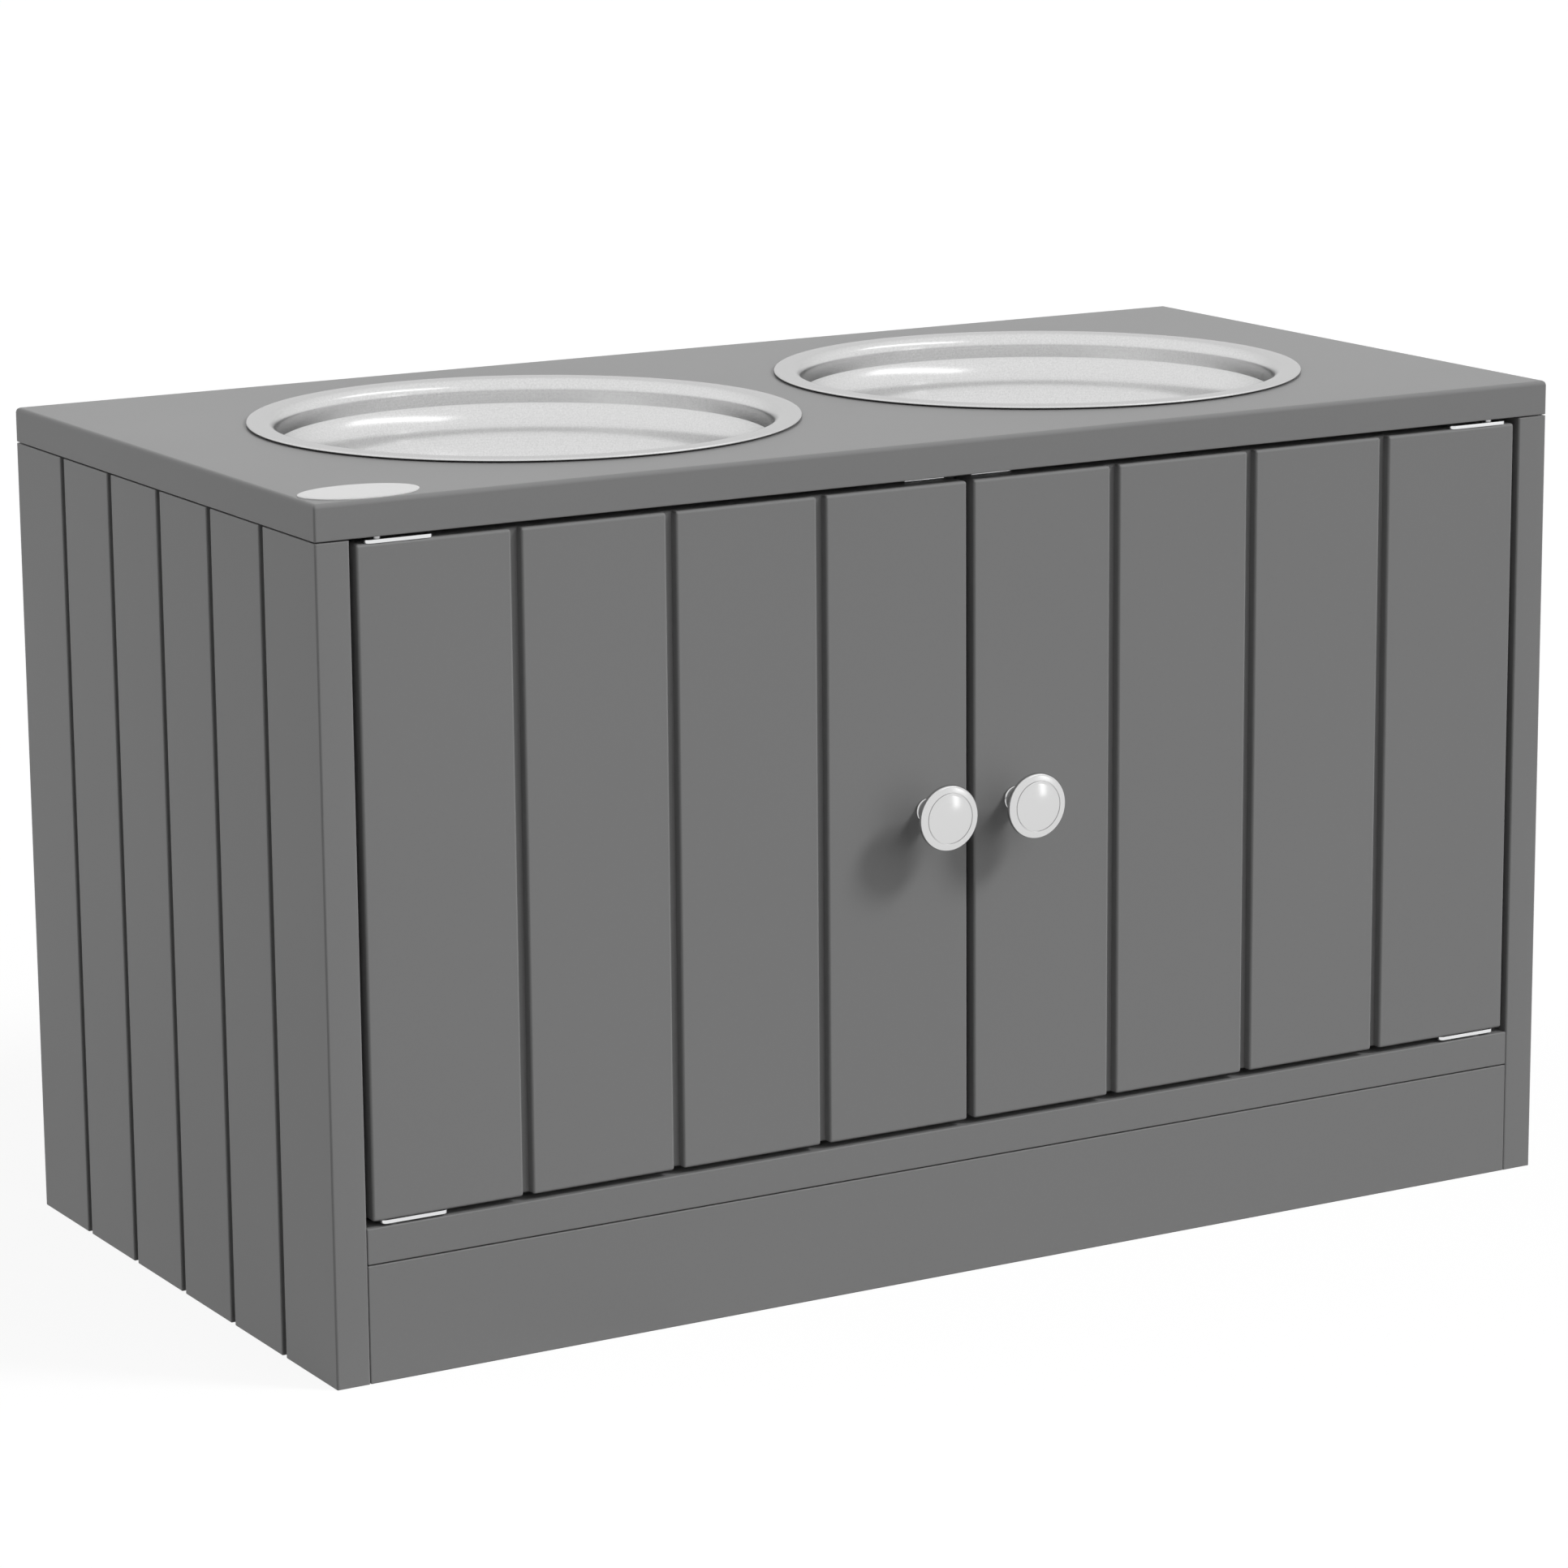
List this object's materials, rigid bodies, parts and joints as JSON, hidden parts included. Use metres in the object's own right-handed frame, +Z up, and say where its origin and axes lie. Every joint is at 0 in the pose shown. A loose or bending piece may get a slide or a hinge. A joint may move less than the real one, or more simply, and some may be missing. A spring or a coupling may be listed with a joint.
{
  "type": "elevated dog feeder with storage",
  "caption": "Raised pet feeder: low painted cabinet with grooved sides and hinged front doors, round knobs, and a top board that holds lift-out steel bowls.",
  "frame": {"origin": "on the floor, under the middle of the whole outline with the knobs", "axes": "+X to the right seen from the doors, +Y to the back, +Z up"},
  "size_m": [0.6, 0.32, 0.3616],
  "materials": {
    "painted_board": "satin grey paint on fibreboard",
    "hardboard": "matt grey painted hardboard",
    "bowl_steel": "spun stainless steel, satin polish",
    "knob_metal": "satin chrome",
    "zinc_plate": "bright zinc plated",
    "magnet": "dark ferrite",
    "grey_plastic": "moulded, matt",
    "dowel_wood": "bare beech",
    "badge_white": "white, blank"
  },
  "bodies": {
    "cabinet": {"top_board": "painted_board", "left_side_panel": "painted_board", "right_side_panel": "painted_board", "bottom_board": "painted_board", "kickboard": "painted_board", "back_panel": "hardboard", "badge": "badge_white", "pivot_bushes": "grey_plastic", "catch_housing": "grey_plastic", "top_dowels": "dowel_wood", "bottom_dowels": "dowel_wood", "kickboard_dowels": "dowel_wood", "top_cam_bolts": "zinc_plate", "top_cams": "zinc_plate", "bottom_cam_bolts": "zinc_plate", "bottom_cams": "zinc_plate", "catch_pole_plates": "zinc_plate", "catch_screws": "zinc_plate", "catch_magnets": "magnet"},
    "left_door": {"left_door_panel": "painted_board", "left_hinge_plates": "zinc_plate", "left_hinge_pins": "zinc_plate", "left_hinge_screws": "zinc_plate", "left_knob": "knob_metal", "left_knob_screw": "zinc_plate", "left_strike_plate": "zinc_plate", "left_strike_screw": "zinc_plate"},
    "right_door": {"right_door_panel": "painted_board", "right_hinge_plates": "zinc_plate", "right_hinge_pins": "zinc_plate", "right_hinge_screws": "zinc_plate", "right_knob": "knob_metal", "right_knob_screw": "zinc_plate", "right_strike_plate": "zinc_plate", "right_strike_screw": "zinc_plate"},
    "left_bowl": {"left_bowl": "bowl_steel"},
    "right_bowl": {"right_bowl": "bowl_steel"}
  },
  "joints": [
    {"name": "left_door_hinge", "type": "hinge", "parent": "cabinet", "child": "left_door", "pos_m": [-0.2712, -0.135, 0.205], "axis": [0, 0, -1], "range_deg": [0, 135]},
    {"name": "right_door_hinge", "type": "hinge", "parent": "cabinet", "child": "right_door", "pos_m": [0.2712, -0.135, 0.205], "axis": [0, 0, 1], "range_deg": [0, 135]},
    {"name": "left_bowl_lift", "type": "slide", "parent": "cabinet", "child": "left_bowl", "axis": [0, 0, 1], "range_m": [0, 0.09]},
    {"name": "right_bowl_lift", "type": "slide", "parent": "cabinet", "child": "right_bowl", "axis": [0, 0, 1], "range_m": [0, 0.09]}
  ]
}
